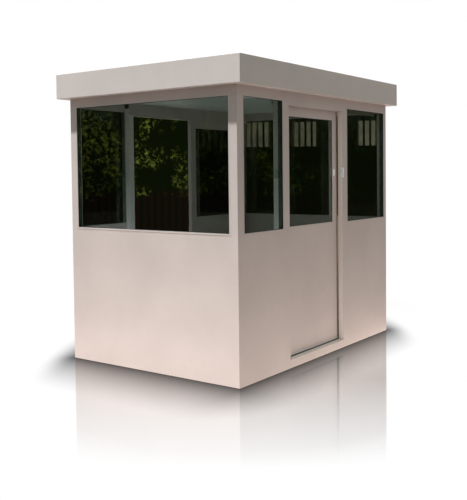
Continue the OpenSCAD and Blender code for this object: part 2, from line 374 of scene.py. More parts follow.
def rubberStrip(name, color, rough=0.75):
    # moulded rubber and brush hair, with a chalky bloom
    m, t, shader, place = startMaterial(name, rough)
    grain = t.noise(place, 160.0, 3.0, 0.6)
    bloom = t.noise(place, 9.0, 3.0, 0.6)
    # dark rubber blooms to nearly twice its tone, light rubber only a little
    pale = [min(0.9, c * 1.9 + 0.01) if c < 0.2 else min(0.9, c * 1.15) for c in color]
    tone = t.mixColor(t.remap(bloom, 0.35, 0.7), (*color, 1), (*pale, 1))
    tone = t.mixColor(t.times(grain, 0.25), tone, scaled(color, 0.5))
    gloss = t.remap(bloom, 0.3, 0.7, rough - 0.1, rough + 0.1)
    finishShader(t, shader, tone, gloss, 0.4, 0.0006, grain)
    return m


def brushedMetal(name, color, rough=0.22, along=(1.0, 1.0, 14.0), metal=1.0):
    # steel with fine brush lines; along squeezes the lines across its long axes
    m, t, shader, place = startMaterial(name, rough, metal)
    lines = t.noise(t.stretch(place, along), 260.0, 2.0, 0.6)
    spots = t.noise(place, 60.0, 4.0, 0.6)
    edge = useGroup(t, edgeWear, Place=place, Width=0.003)
    tone = t.mixColor(t.remap(spots, 0.4, 0.7), (*color, 1), scaled(color, 0.82))
    tone = t.mixColor(t.times(edge["Mask"], 0.5), tone, (0.95, 0.95, 0.93, 1))
    gloss = t.remap(lines, 0.3, 0.7, rough - 0.06, rough + 0.12)
    finishShader(t, shader, tone, gloss, 0.15, 0.0004, lines)
    return m


def roofSheet(name):
    # weathered roofing membrane
    m, t, shader, place = startMaterial(name, 0.8)
    grit = t.noise(place, 220.0, 3.0, 0.7)
    cloud = t.noise(place, 2.4, 5.0, 0.6)
    pond = t.remap(t.noise(place, 1.1, 3.0, 0.5), 0.5, 0.66)
    tone = t.mixColor(t.remap(cloud, 0.3, 0.7), (0.135, 0.135, 0.13, 1), (0.20, 0.195, 0.185, 1))
    tone = t.mixColor(t.times(pond, 0.35), tone, (0.09, 0.08, 0.07, 1))
    tone = t.mixColor(t.times(t.remap(grit, 0.4, 0.7), 0.2), tone, (0.30, 0.295, 0.28, 1))
    finishShader(t, shader, tone, t.remap(cloud, 0.3, 0.7, 0.68, 0.9), 0.5, 0.001, grit)
    return m


def treadFloor(name):
    # grey ribbed floor covering, paler where feet rub it
    m, t, shader, place = startMaterial(name, 0.6)
    ribs = t.add("TexWave", {"Vector": place, "Scale": 26.0, "Distortion": 0.0}, bands_direction="Y")
    rub = t.remap(t.noise(place, 2.0, 4.0, 0.6), 0.4, 0.7)
    fleck = t.noise(place, 240.0, 2.0, 0.6)
    tone = t.mixColor(rub, (0.12, 0.125, 0.125, 1), (0.21, 0.21, 0.205, 1))
    tone = t.mixColor(t.times(t.remap(fleck, 0.55, 0.7), 0.4), tone, (0.36, 0.35, 0.33, 1))
    finishShader(t, shader, tone, t.remap(rub, 0.0, 1.0, 0.62, 0.45), 0.5, 0.002, ribs.outputs["Fac"])
    return m


paneGlass = tintedPane("paneGlass")
gasketRubber = rubberStrip("gasketRubber", (0.025, 0.027, 0.025))
channelRubber = rubberStrip("channelRubber", (0.075, 0.09, 0.075))
sealBrown = rubberStrip("sealBrown", (0.41, 0.31, 0.175))
# pale foot hair: its own light grey, made paler still as painted light for the shaded gap under the door leaf
sealGrey = rubberStrip("sealGrey", (0.80, 0.76, 0.76))
wheelSteel = brushedMetal("wheelSteel", (0.55, 0.55, 0.54), 0.35)
satinSteel = brushedMetal("satinSteel", (0.97, 0.97, 0.95), 0.50, metal=0.85)
# pale foot carrier: bright metal, made paler still as painted light for the shaded gap under the door leaf
footMetal = brushedMetal("footMetal", (0.86, 0.84, 0.84), 0.45, along=(14.0, 1.0, 1.0), metal=0.8)
membrane = roofSheet("roofMembrane")
floorCover = treadFloor("floorCover")
print("finishes mixed")


windowPanes = {"glass_left": "paneLeft", "glass_right": "paneRight", "glass_front_small": "paneFrontSmall",
               "glass_front_large": "paneFrontLarge", "glass_back_small": "paneBackSmall",
               "glass_back_large": "paneBackLarge"}
panePlay = 0.0003  # between a pane and the edge of its opening

# walls: one welded shell with rounded corners; the cutters run out past both faces of a wall
shell = {"corner": 0.003, "segments": 3, "near": 0.004, "roomPast": 0.1, "paneOut": 0.09, "paneIn": 0.06,
         "doorPast": 0.02}


def lineOpenings(ob, low, high, thick):
    # dark glazing channel inside each window opening, pale jambs and sills in the doorways: the pale jamb
    # paint is partly a pale liner and partly painted light, brighter than the wall paint to stand in for
    # bounce light in the doorway recess
    for finish in (channelRubber, jambLitPaint, headShadePaint):
        ob.data.materials.append(finish)
    channel, jamb, head = 1, 2, 3
    edge, near = shell["corner"], shell["near"]
    door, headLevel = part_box("front_sill"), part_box("front_lintel")[0].z
    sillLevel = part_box("glass_left")[0].z
    for p in ob.data.polygons:
        c, n = p.center, p.normal
        # undersides of the doorway heads take the darker head paint: painted shade
        if door[0].x < c.x < door[1].x and abs(c.z - headLevel) < near and n.z < -0.25:
            p.material_index = head
        for across in (0, 1):
            along = 1 - across
            depth = min(c[across] - low[across], high[across] - c[across])
            inside = edge < depth < thick - edge and abs(n[across]) < 0.2
            if not inside or not low[along] + thick < c[along] < high[along] - thick:
                continue
            if sillLevel - 2 * near < c.z < high.z - 2 * near and abs(n[along]) + abs(n.z) > 0.9:
                p.material_index = channel
            if across == 1 and door[0].x - near < c.x < door[1].x + near and abs(n.x) > 0.9:
                p.material_index = jamb
            # across the doorway: painted shade on the head's underside, painted light (the pale jamb paint)
            # on the sill's top
            elif across == 1 and door[0].x + near < c.x < door[1].x - near:
                p.material_index = head if c.z > headLevel - 2 * near else jamb


def makeWalls():
    low, high = span("front_wall_left", "front_wall_right", "back_wall_left", "back_wall_right")
    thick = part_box("front_sill")[1].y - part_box("front_sill")[0].y
    bm = bmesh.new()
    addBox(bm, low, high)
    ob = linkMesh("wallShell", bm, wallPaint)
    bm = bmesh.new()
    past, out, back = shell["roomPast"], shell["paneOut"], shell["paneIn"]
    addBox(bm, (low.x + thick, low.y + thick, low.z - past), (high.x - thick, high.y - thick, high.z + past))
    carve(ob, linkMesh("roomCutter", bm))
    bm = bmesh.new()
    play = Vector((panePlay, panePlay, panePlay))
    for pane in windowPanes:
        a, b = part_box(pane)
        across = 0 if b.x - a.x < b.y - a.y else 1
        a, b = a - play, b + play
        a[across] -= out if a[across] < 0 else back
        b[across] += back if b[across] < 0 else out
        addBox(bm, a, b)
    past = shell["doorPast"]
    for side in ("front", "back"):
        sill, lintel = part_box(side + "_sill"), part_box(side + "_lintel")
        addBox(bm, (sill[0].x, sill[0].y - past, sill[1].z), (sill[1].x, sill[1].y + past, lintel[0].z))
    carve(ob, linkMesh("holeCutter", bm))
    soften(ob, shell["corner"], shell["segments"])
    lineOpenings(ob, low, high, thick)
    settle(ob, fixedBody, ("front_wall_left", "front_wall_right", "front_lintel", "front_sill",
                           "back_wall_left", "back_wall_right", "back_lintel", "back_sill",
                           "left_wall", "right_wall"))


makeWalls()
print("walls welded")


# a pressed frame round each opening, and a gasket on both faces of its pane
glazing = {"flange": 0.012, "proud": 0.0015, "paneSet": 0.002, "gasket": 0.004, "gasketProud": 0.0016,
           "gasketGap": 0.0002, "edge": 0.0005, "paneEdge": 0.001}


def mitredRing(bm, low, high, across, inner, outer, near, far):
    # one closed picture-frame ring with true mitres; inner and outer are distances out from the pane's edge
    along = 1 - across
    rings = []
    for d, level in ((outer, near), (outer, far), (inner, far), (inner, near)):
        ring = []
        for u, z in ((low[along] - d, low.z - d), (high[along] + d, low.z - d),
                     (high[along] + d, high.z + d), (low[along] - d, high.z + d)):
            p = [0, 0, 0]
            p[across], p[along], p[2] = level, u, z
            ring.append(bm.verts.new(p))
        rings.append(ring)
    bridge(bm, rings + rings[:1])


def makeGlazing(g):
    frames, gaskets, gap = bmesh.new(), bmesh.new(), g["gasketGap"]
    for node in windowPanes:
        low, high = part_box(node)
        across = 0 if high.x - low.x < high.y - low.y else 1
        side = -1 if low[across] < 0 else 1
        outer, inner = (low[across], high[across]) if side < 0 else (high[across], low[across])
        for v, way in ((low, -1), (high, 1)):
            v[1 - across] += way * panePlay
            v.z += way * panePlay
        wall = outer + side * g["paneSet"]
        mitredRing(frames, low, high, across, 0.0, g["flange"], wall, wall + side * g["proud"])
        for face, way in ((outer, side), (inner, -side)):
            mitredRing(gaskets, low, high, across, -g["gasket"], -gap, face + way * gap,
                       face + way * g["gasketProud"])
    faceOut(frames)
    faceOut(gaskets)
    frames = soften(linkMesh("windowFrames", frames, wallPaint), g["edge"])
    settle(frames, fixedBody, ("window_trims",))
    gaskets = soften(linkMesh("windowGaskets", gaskets, gasketRubber), g["edge"])
    settle(gaskets, fixedBody, ())
    for node, name in windowPanes.items():
        settle(refine(name, node, paneGlass, g["paneEdge"]), fixedBody, (node,))


makeGlazing(glazing)
print("windows glazed")


def rowTree(name, head=None):
    # plants copies of head, or thin tapered hairs where no head is given, at equal steps along straight runs
    tree = bpy.data.node_groups.new(name, "GeometryNodeTree")
    # the modifier hands its mesh to the first input, so that one is the runs
    tree.interface.new_socket(name="Runs", in_out="INPUT", socket_type="NodeSocketGeometry")
    for label, sort, value in (("Pitch", "Float", 0.1), ("Thickness", "Float", 0.001),
                               ("Length", "Float", 0.01), ("Lean", "Float", 0.0), ("Seed", "Int", 7)):
        socket = tree.interface.new_socket(name=label, in_out="INPUT", socket_type="NodeSocket" + sort)
        socket.default_value = value
    tree.interface.new_socket(name="Finish", in_out="INPUT", socket_type="NodeSocketMaterial")
    tree.interface.new_socket(name="Row", in_out="OUTPUT", socket_type="NodeSocketGeometry")
    add, wire = tree.nodes.new, tree.links.new
    gin, gout = add("NodeGroupInput"), add("NodeGroupOutput")
    line, steps = add("GeometryNodeMeshToCurve"), add("GeometryNodeResampleCurve")
    steps.mode = "LENGTH"
    wire(gin.outputs["Runs"], line.inputs[0])
    wire(line.outputs[0], steps.inputs["Curve"])
    wire(gin.outputs["Pitch"], steps.inputs["Length"])
    # the way each one stands, with a small random lean
    way = add("GeometryNodeInputNamedAttribute")
    way.data_type = "FLOAT_VECTOR"
    way.inputs["Name"].default_value = "way"
    lean = add("FunctionNodeRandomValue")
    spread, aim = add("ShaderNodeVectorMath"), add("ShaderNodeVectorMath")
    lean.data_type = "FLOAT_VECTOR"
    lean.inputs[0].default_value = (-1, -1, -1)
    lean.inputs[1].default_value = (1, 1, 1)
    spread.operation = "SCALE"
    wire(gin.outputs["Seed"], lean.inputs["Seed"])
    wire(lean.outputs[0], spread.inputs[0])
    wire(gin.outputs["Lean"], spread.inputs["Scale"])
    wire(way.outputs[0], aim.inputs[0])
    wire(spread.outputs[0], aim.inputs[1])
    stand, spin = add("FunctionNodeAlignRotationToVector"), add("FunctionNodeRandomValue")
    turned = add("FunctionNodeRotateRotation")
    stand.axis = "Z"
    spin.data_type = "FLOAT_VECTOR"
    spin.inputs[0].default_value = (0, 0, 0)
    spin.inputs[1].default_value = (0, 0, 3.1)
    turned.rotation_space = "LOCAL"
    wire(aim.outputs[0], stand.inputs["Vector"])
    wire(gin.outputs["Seed"], spin.inputs["Seed"])
    wire(stand.outputs[0], turned.inputs[0])
    wire(spin.outputs[0], turned.inputs[1])
    place, size = add("GeometryNodeInstanceOnPoints"), add("ShaderNodeCombineXYZ")
    wire(steps.outputs[0], place.inputs["Points"])
    wire(turned.outputs[0], place.inputs["Rotation"])
    if head:
        info = add("GeometryNodeObjectInfo")
        info.inputs["Object"].default_value = head
        wire(info.outputs["Geometry"], place.inputs["Instance"])
    else:
        hair = add("GeometryNodeMeshCone")
        for label, value in (("Vertices", 4), ("Radius Top", 0.45), ("Radius Bottom", 1.0), ("Depth", 1.0)):
            hair.inputs[label].default_value = value
        wire(hair.outputs["Mesh"], place.inputs["Instance"])
    for axis, label in (("X", "Thickness"), ("Y", "Thickness"), ("Z", "Length")):
        wire(gin.outputs[label], size.inputs[axis])
    wire(size.outputs[0], place.inputs["Scale"])
    real, paint = add("GeometryNodeRealizeInstances"), add("GeometryNodeSetMaterial")
    wire(place.outputs[0], real.inputs[0])
    wire(real.outputs[0], paint.inputs[0])
    wire(gin.outputs["Finish"], paint.inputs["Material"])
    wire(paint.outputs[0], gout.inputs[0])
    return tree


def layRows(name, tree, runs, material, **sizes):
    # runs: (start, end, way) for each straight run
    me = bpy.data.meshes.new(name)
    me.from_pydata([p for start, end, way in runs for p in (start, end)],
                   [(2 * k, 2 * k + 1) for k in range(len(runs))], [])
    attr = me.attributes.new("way", "FLOAT_VECTOR", "POINT")
    for k, (start, end, way) in enumerate(runs):
        attr.data[2 * k].vector = attr.data[2 * k + 1].vector = way
    ob = bpy.data.objects.new(name, me)
    bpy.context.scene.collection.objects.link(ob)
    mod = ob.modifiers.new("rows", "NODES")
    mod.node_group = tree
    sockets = {i.name: i.identifier for i in tree.interface.items_tree if i.item_type == "SOCKET"
               and i.in_out == "INPUT"}
    mod[sockets["Finish"]] = material
    for label, value in sizes.items():
        mod[sockets[label]] = value
    ob = freeze(ob)
    if "way" in ob.data.attributes:
        ob.data.attributes.remove(ob.data.attributes["way"])
    for p in ob.data.polygons:
        p.use_smooth = False
    print(name, len(ob.data.polygons), "faces")
    return ob


def screwHead():
    # a pan head one unit in radius and one unit proud, with a cross recess, pointing up
    bm = bmesh.new()
    sides = 20
    profile = ((1.0, 0.0), (1.0, 0.30), (0.93, 0.58), (0.78, 0.82), (0.55, 0.96), (0.45, 1.0))
    turns = [2 * math.pi * k / sides for k in range(sides)]
    rings = [[bm.verts.new((r * math.cos(a), r * math.sin(a), h)) for a in turns] for r, h in profile]
    bridge(bm, rings)
    bm.faces.new(rings[-1])
    bm.faces.new(list(reversed(rings[0])))
    ob = linkMesh("screwHead", bm)
    for long, wide in ((0.5, 0.11), (0.11, 0.5)):
        slot = bmesh.new()
        addBox(slot, (-long, -wide, 0.45), (long, wide, 1.5))
        carve(ob, linkMesh("screwSlot", slot))
    return ob


panHead = screwHead()
screwRow = rowTree("screwRow", panHead)
hairRow = rowTree("hairRow")
print("row makers ready")


roof = {"corner": 0.0035, "flange": 0.042, "sheetEdge": 0.001,
        "lap": 0.045, "lapHeight": 0.0025, "lapEnd": 0.01, "strip": 0.92,
        "upstand": 0.008, "upstandHeight": 0.006, "sunk": 0.001, "membraneEdge": 0.0012,
        "screwPitch": 0.31, "screwRadius": 0.0060, "screwProud": 0.0028, "screwInset": 0.030,
        "screwStart": 0.15}


def makeRoof(r):
    # fascia and top flange folded from one sheet, mitred at the corners
    sheets = ("fascia_front", "fascia_back", "fascia_left", "fascia_right", "roof_edge")
    low, high = span(*sheets)
    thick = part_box("fascia_front")[1].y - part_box("fascia_front")[0].y
    under, flange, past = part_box("roof_edge")[0].z, r["flange"], shell["roomPast"]
    bm = bmesh.new()
    addBox(bm, low, high)
    band = linkMesh("fasciaBand", bm, roofPaint)
    for inset, top in ((thick, under), (flange, high.z + past)):
        bm = bmesh.new()
        addBox(bm, (low.x + inset, low.y + inset, low.z - past), (high.x - inset, high.y - inset, top))
        carve(band, linkMesh("roofCutter", bm))
    soften(band, r["corner"], 4)
    settle(band, fixedBody, sheets)
    settle(refine("soffitSheet", "soffit", soffitPaint, r["sheetEdge"]), fixedBody, ("soffit",))
    settle(refine("ceilingPanel", "ceiling_panel", ceilingPaint, r["sheetEdge"]), fixedBody,
           ("ceiling_panel",))
    # screws that hold the membrane's edge down, just inside the flange
    a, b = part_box("roof_deck")
    inset, start = flange + r["screwInset"], r["screwStart"]
    left, right, near, far = low.x + inset, high.x - inset, low.y + inset, high.y - inset
    runs = [((left + start, y, b.z), (right - start, y, b.z), (0, 0, 1)) for y in (near, far)]
    runs += [((x, near + start, b.z), (x, far - start, b.z), (0, 0, 1)) for x in (left, right)]
    screws = layRows("roofScrews", screwRow, runs, wheelSteel, Pitch=r["screwPitch"],
                     Thickness=r["screwRadius"], Length=r["screwProud"])
    settle(screws, fixedBody, ())
    # deck under a membrane laid in strips with welded laps, turned up at the edges
    bm = bmesh.new()
    addBox(bm, a, b)
    count = int((b.y - a.y) / r["strip"]) + 1
    step = (b.y - a.y) / count
    foot, half, end = b.z - r["sunk"], r["lap"] / 2, r["lapEnd"]
    for k in range(1, count):
        y = a.y + k * step
        addBox(bm, (a.x + end, y - half, foot), (b.x - end, y + half, b.z + r["lapHeight"]))
    wide, top = r["upstand"], b.z + r["upstandHeight"]
    for y in (a.y, b.y - wide):
        addBox(bm, (a.x, y, foot), (b.x, y + wide, top))
    for x in (a.x, b.x - wide):
        addBox(bm, (x, a.y + wide, foot), (x + wide, b.y - wide, top))
    deck = soften(linkMesh("roofMembrane", bm, membrane), r["membraneEdge"])
    settle(deck, fixedBody, ("roof_deck",))


makeRoof(roof)
print("roof laid")


def makeFloorParts():
    settle(refine("floorCover", "floor_plate", floorCover), fixedBody, ("floor_plate",))
    settle(refine("floorRunners", "base_runners", runnerPaint, 0.004, 3), fixedBody, ("base_runners",))


makeFloorParts()
print("floor down")


def lathe(bm, centre, axis, profile, segments=32):
    # profile: (distance along axis, radius) pairs, both ends closed
    axis = Vector(axis).normalized()
    side = axis.orthogonal().normalized()
    up = axis.cross(side)
    centre = Vector(centre)
    turns = [2 * math.pi * k / segments for k in range(segments)]
    rings = [[bm.verts.new(centre + axis * d + (side * math.cos(a) + up * math.sin(a)) * r) for a in turns]
             for d, r in profile]
    bridge(bm, rings)
    bm.faces.new(rings[-1])
    bm.faces.new(list(reversed(rings[0])))


leaf = {"edge": 0.0022, "paneEdge": 0.001, "gasket": 0.004, "gasketGap": 0.0002, "gasketProud": 0.0020,
        "gasketUnder": 0.0001, "gasketEdge": 0.0005}


def makeLeaf(side, body, out, d):
    settle(refine(side + "Leaf", body + "_leaf", wallPaint, d["edge"], 3), body, (body + "_leaf",))
    settle(refine(side + "LeafPane", body + "_glass", paneGlass, d["paneEdge"]), body, (body + "_glass",))
    low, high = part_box(body + "_glass")
    outer, inner = (low.y, high.y) if out < 0 else (high.y, low.y)
    bm = bmesh.new()
    for face, way in ((outer, out), (inner, -out)):
        mitredRing(bm, low, high, 1, -d["gasket"], d["gasketUnder"], face + way * d["gasketGap"],
                   face + way * d["gasketProud"])
    faceOut(bm)
    settle(soften(linkMesh(side + "LeafGasket", bm, gasketRubber), d["gasketEdge"]), body, ())


brush = {"pitch": 0.0032, "hair": 0.0008, "lean": 0.072, "carrier": 0.010, "sweep": 0.004, "fin": 0.0026,
         "finShort": 0.002, "sunk": 0.001, "edge": 0.0008, "rowIn": 0.0016, "rowOff": 0.001, "rowEnd": 0.004,
         "footEnd": 0.003, "root": 0.0005, "hairShare": 0.97}


def makeBrush(side, body, b):
    # strip up the trailing edge and along the foot: carrier, a thin fin, and hair on both faces of it
    (low, high), (leafLow, leafHigh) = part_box(body + "_seal"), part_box(body + "_leaf")
    mid, half, sunk = (low.y + high.y) / 2, b["fin"] / 2, b["sunk"]
    root = leafHigh.x + b["carrier"]
    bm = bmesh.new()
    addBox(bm, (leafHigh.x, low.y, leafLow.z), (root, high.y, leafHigh.z))
    addBox(bm, (root - sunk, mid - half, leafLow.z),
           (high.x - b["finShort"], mid + half, leafHigh.z - b["finShort"]))
    settle(soften(linkMesh(side + "EdgeCarrier", bm, sealBrown), b["edge"]), body, (body + "_seal",))
    bm = bmesh.new()
    foot = low.z + b["sweep"]
    addBox(bm, (leafLow.x, low.y, foot), (high.x, high.y, leafLow.z))
    addBox(bm, (leafLow.x + sunk, mid - half, low.z + sunk), (high.x - sunk, mid + half, foot + sunk))
    settle(soften(linkMesh(side + "FootCarrier", bm, footMetal), b["edge"]), body, ())
    edge, under = [], []
    for y in (low.y + b["rowIn"], mid - half - b["rowOff"], mid + half + b["rowOff"], high.y - b["rowIn"]):
        x, z = root - b["root"], foot + b["root"]
        edge.append(((x, y, leafLow.z + b["rowEnd"]), (x, y, leafHigh.z - b["rowEnd"]), (1, 0, 0)))
        under.append(((leafLow.x + b["footEnd"], y, z), (high.x - b["footEnd"], y, z), (0, 0, -1)))
    for name, rows, finish, reach, seed in (("EdgeBrush", edge, sealBrown, high.x - root, 11),
                                            ("FootBrush", under, sealGrey, b["sweep"], 12)):
        hair = layRows(side + name, hairRow, rows, finish, Pitch=b["pitch"], Thickness=b["hair"],
                       Length=reach * b["hairShare"], Lean=b["lean"], Seed=seed)
        settle(hair, body, ())


lock = {"pullEdge": 0.0012, "keeperEdge": 0.001, "plate": 0.003, "screwDepth": 0.024, "margin": 0.012,
        "screwRadius": 0.0042, "screwProud": 0.0016}


def makeLock(side, body, out, k):
    # flush pull in the leaf; angle plate on the jamb and latch plate on the stop post, with their screws
    settle(refine(side + "Pull", body + "_pull", satinSteel, k["pullEdge"], 3), body, (body + "_pull",))
    settle(refine(side + "Keeper", body + "_keeper", satinSteel, k["keeperEdge"], 3), fixedBody,
           (body + "_keeper",))
    keeper, doorway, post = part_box(body + "_keeper"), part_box(side + "_sill"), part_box(body + "_stop")
    x = doorway[1].x - k["plate"]
    y = doorway[0].y + k["screwDepth"] if out < 0 else doorway[1].y - k["screwDepth"]
    low, high, inset = keeper[0].z + k["margin"], keeper[1].z - k["margin"], k["margin"] * 2
    mid = (post[0].y + post[1].y) / 2
    runs = [((x, y, low), (x, y, high), (-1, 0, 0)),
            ((keeper[0].x, mid, low + inset), (keeper[0].x, mid, high - inset), (-1, 0, 0))]
    # a pitch just under the shorter run puts a screw at both its ends
    pitch = (high - low - 2 * inset) * 0.999
    screws = layRows(side + "KeeperScrews", screwRow, runs, wheelSteel, Pitch=pitch,
                     Thickness=k["screwRadius"], Length=k["screwProud"])
    settle(screws, fixedBody, ())


hanger = {"inset": 0.130, "half": 0.030, "strap": 0.004, "strapDown": 0.0056, "strapEdge": 0.0015,
          "wheel": 0.014, "ease": 0.0012, "tread": (0.0008, 0.008), "face": 0.009, "dish": 0.0078,
          "hub": 0.0066, "hubLip": 0.001, "axle": 0.0048, "axleTip": 0.0046, "dimple": 0.0008}


def makeHangers(side, body, h):
    # folded straps up through the slot, two wheels on each
    (leafLow, leafHigh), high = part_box(body + "_leaf"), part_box(body + "_hangers")[1]
    mid, half, strap = (leafLow.y + leafHigh.y) / 2, h["half"], h["strap"]
    places = (leafLow.x + h["inset"], leafHigh.x - h["inset"])
    bm = bmesh.new()
    for x in places:
        addBox(bm, (x - half, mid - strap, leafHigh.z), (x + half, mid + strap, high.z - h["strapDown"]))
    settle(soften(linkMesh(side + "HangerStraps", bm, trackPaint), h["strapEdge"]), body,
           (body + "_hangers",))
    # from the strap out: eased tread, dished face, axle end standing up in the dish
    bm = bmesh.new()
    r, face, dish = h["wheel"], h["face"], h["dish"]
    profile = ((0.0, r - h["ease"]), *[(d, r) for d in h["tread"]], (face, r - h["ease"]),
               (face, h["hub"] + h["hubLip"]), (dish, h["hub"]), (dish, h["axle"]), (face, h["axleTip"]),
               (face, h["dimple"]))
    for x in places:
        for way in (-1, 1):
            lathe(bm, (x, mid + way * strap, high.z - r), (0, way, 0), profile)
    faceOut(bm)
    settle(linkMesh(side + "HangerWheels", bm, wheelSteel), body, ())


track = {"channel": 0.048, "wall": 0.0026, "lip": 0.002, "slotTop": 0.008, "edge": 0.0008, "postEdge": 0.002,
         "buffer": 0.022, "bufferGap": 0.0032, "bufferEnd": 0.0005, "bufferEdge": 0.002,
         "screwPitch": 0.26, "screwRadius": 0.0046, "screwProud": 0.0022, "screwDown": 0.014,
         "screwStart": 0.06}


def makeTrack(side, body, out, k):
    # channel with its room-side cover: painted like the walls, grey where the wheels run
    ob = refine(side + "Track", body + "_track", wallPaint, k["edge"])
    low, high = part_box(body + "_track")
    ob.data.materials.append(trackPaint)
    channel = high.z - k["channel"]
    for p in ob.data.polygons:
        c = p.center
        if not low.y + k["wall"] < c.y < high.y - k["wall"] or not channel + k["lip"] < c.z:
            continue
        if c.z < channel + k["slotTop"] or (c.z < high.z - k["lip"] and p.normal.z < 0.99):
            p.material_index = 1
    settle(ob, fixedBody, (body + "_track",))
    # the stop post shares the pale jamb paint, painted light in part
    settle(refine(side + "StopPost", body + "_stop", jambLitPaint, k["postEdge"], 3), fixedBody,
           (body + "_stop",))
    # black rubber buffer that closes the end of the channel: partly a real end stop, partly painted shade, a
    # dark block for the shade in the channel's open end
    gap = k["bufferGap"]
    bm = bmesh.new()
    addBox(bm, (low.x + k["bufferEnd"], low.y + gap, channel + gap),
           (low.x + k["buffer"], high.y - gap, high.z - gap))
    settle(soften(linkMesh(side + "TrackBuffer", bm, gasketRubber), k["bufferEdge"]), fixedBody, ())
    y, z = high.y if out < 0 else low.y, high.z - k["screwDown"]
    runs = [((low.x + k["screwStart"], y, z), (high.x - k["screwStart"], y, z), (0, -out, 0))]
    screws = layRows(side + "TrackScrews", screwRow, runs, wheelSteel, Pitch=k["screwPitch"],
                     Thickness=k["screwRadius"], Length=k["screwProud"])
    settle(screws, fixedBody, ())


for side, out in (("front", -1), ("back", 1)):  # out: the way outdoors along Y
    body = side + "_door"
    makeLeaf(side, body, out, leaf)
    makeBrush(side, body, brush)
    makeLock(side, body, out, lock)
    makeHangers(side, body, hanger)
    makeTrack(side, body, out, track)
    print(side, "door hung")
bpy.data.objects.remove(panHead)


# stage: pale floor, one high key and soft light all round
stage = {"floorRadius": 5.0, "floorDown": 0.0005, "floorReach": 3.0,
         # light that the floor throws back at the booth's left and right end, by distance from the walls
         "bounceLeft": ((0.0, 0.64), (0.7, 2.10), (1.8, 0.0)),
         "bounceRight": ((0.0, 2.68), (0.7, 0.0), (1.8, 1.16)),
         "bounceTint": (1.0, 0.87, 0.80), "bounceSpan": 6.66,
         # soft shade round the foot: how dark, how far to each side, how it curves
         "footShade": 0.13, "shadeCurve": 1.35,
         "shadeReach": {"left": 0.82, "right": 0.85, "front": 0.57, "back": 0.75},
         "shadeTurn": 35.9, "shadeHalf": 1.45, "shadeSpill": 0.30,
         # polish that dies away towards the near corner
         "polish": 0.74, "polishTurn": 35.9, "polishFrom": -3.15, "polishTo": -1.30, "polishCurve": 0.8,
         "polishReach": (1.3, 1.8),
         "lowSky": (0.12, 0.13, 0.12), "highSky": (0.58, 0.63, 0.59),
         "key": 7.05, "keyAngle": 2.0, "keyHeight": 74.2, "keyTurn": 23.0, "keyTint": (1.0, 1.04, 1.06),
         # daylight in the room, low inside the left and front walls: power, way in, way down, aim, size
         "endFill": (5.9, 0.20, 0.25, (1, 0, 0.75), (1.5, 0.3)),
         "frontFill": (1.4, 0.2075, 0.45, (0, 0.8, 1), (2.1, 0.3)), "roomTint": (0.86, 0.86, 1.08)}


def bandRamp(t, factor, stops, reach, most):
    ramp = t.add("ValToRGB", {"Fac": factor})
    marks = ramp.color_ramp.elements
    while len(marks) < len(stops):
        marks.new(0.5)
    for k, (d, c) in enumerate(stops):
        marks[k].position = d / reach
    for k, (d, c) in enumerate(stops):
        marks[k].color = (c / most, c / most, c / most, 1)
    return ramp.outputs["Color"]


def startCard(name):
    # a material that shines by itself, with no shader yet
    m = bpy.data.materials.new(name)
    m.use_nodes = True
    tree = m.node_tree
    tree.nodes.remove(tree.nodes["Principled BSDF"])
    t = Tree(tree)
    return m, t, t.add("TexCoord").outputs["Object"], tree.nodes["Material Output"].inputs["Surface"]


